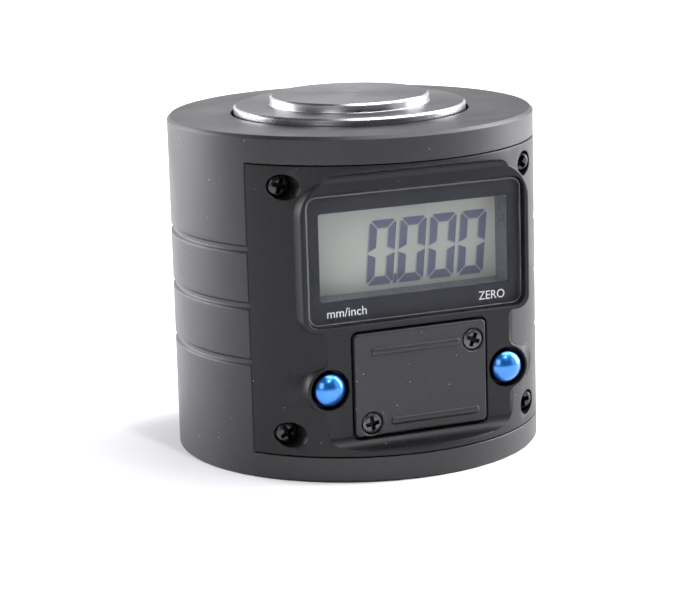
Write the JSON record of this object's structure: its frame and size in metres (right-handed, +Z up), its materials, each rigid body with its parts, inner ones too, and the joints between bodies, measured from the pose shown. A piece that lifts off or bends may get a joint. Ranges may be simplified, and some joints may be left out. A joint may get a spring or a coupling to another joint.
{
  "type": "tool height presetter",
  "caption": "Round black tool-height presetter with a sprung stepped steel anvil, a liquid-crystal display, push buttons and a screwed battery cover.",
  "frame": {"origin": "centre of the base, on the plane it stands on", "axes": "+Z up along the spindle to the measuring face; the display and buttons face -Y; +X is to the right of someone who reads the display"},
  "size_m": [0.052, 0.052, 0.05],
  "materials": {
    "casing_black": "satin black paint over turned metal",
    "panel_black": "satin black moulding",
    "window_clear": "polished clear pane",
    "window_black": "glossy black print",
    "display_grey": "grey polariser over display glass",
    "button_blue": "glossy metallic blue",
    "anvil_steel": "turned stainless steel",
    "ground_steel": "ground bright steel",
    "spring_steel": "bright wire",
    "screw_black": "black oxide",
    "screw_nickel": "dark nickel plate",
    "bronze": "sintered bronze",
    "seal_rubber": "matt",
    "connector_rubber": "matt",
    "carrier_alloy": "milled",
    "scale_green": "etched circuit strip",
    "board_green": "solder mask",
    "chip_black": "moulded",
    "switch_grey": "moulded",
    "cell_steel": "nickel-plated steel"
  },
  "bodies": {
    "casing": {"body": "casing_black", "front_panel": "panel_black", "battery_cover": "panel_black", "display_window": "window_clear", "window_mask": "window_black", "display": "display_grey", "base_plate": "ground_steel", "guide_pin": "ground_steel", "return_spring": "spring_steel", "upper_bush": "bronze", "lower_bush": "bronze", "spindle_seal": "seal_rubber", "display_connector_upper": "connector_rubber", "display_connector_lower": "connector_rubber", "circuit_board": "board_green", "processor": "chip_black", "crystal": "cell_steel", "battery": "cell_steel", "battery_contact_positive": "spring_steel", "battery_contact_negative": "spring_steel", "unit_switch": "switch_grey", "zero_switch": "switch_grey", "cover_screw_upper": "screw_nickel", "cover_screw_lower": "screw_nickel", "panel_screw_1": "screw_black", "panel_screw_2": "screw_black", "panel_screw_3": "screw_black", "panel_screw_4": "screw_black", "board_screw_1": "screw_nickel", "board_screw_2": "screw_nickel", "board_screw_3": "screw_nickel", "board_screw_4": "screw_nickel", "base_screw_1": "screw_nickel", "base_screw_2": "screw_nickel", "base_screw_3": "screw_nickel"},
    "plunger": {"anvil": "anvil_steel", "spindle": "ground_steel", "stop_ring": "spring_steel", "scale_carrier": "carrier_alloy", "carrier_screw": "screw_black", "measuring_scale": "scale_green"},
    "unit_key": {"unit_button": "button_blue", "unit_switch_plunger": "chip_black"},
    "zero_key": {"zero_button": "button_blue", "zero_switch_plunger": "chip_black"}
  },
  "joints": [
    {"name": "anvil_slide", "type": "slide", "parent": "casing", "child": "plunger", "axis": [0, 0, -1], "range_m": [0, 0.002], "stiffness_N_per_m": 400, "springref_m": -0.004, "deforming": ["return_spring"]},
    {"name": "unit_press", "type": "slide", "parent": "casing", "child": "unit_key", "axis": [0, 1, 0], "range_m": [0, 0.0005], "stiffness_N_per_m": 800, "springref_m": -0.0006},
    {"name": "zero_press", "type": "slide", "parent": "casing", "child": "zero_key", "axis": [0, 1, 0], "range_m": [0, 0.0005], "stiffness_N_per_m": 800, "springref_m": -0.0006}
  ]
}
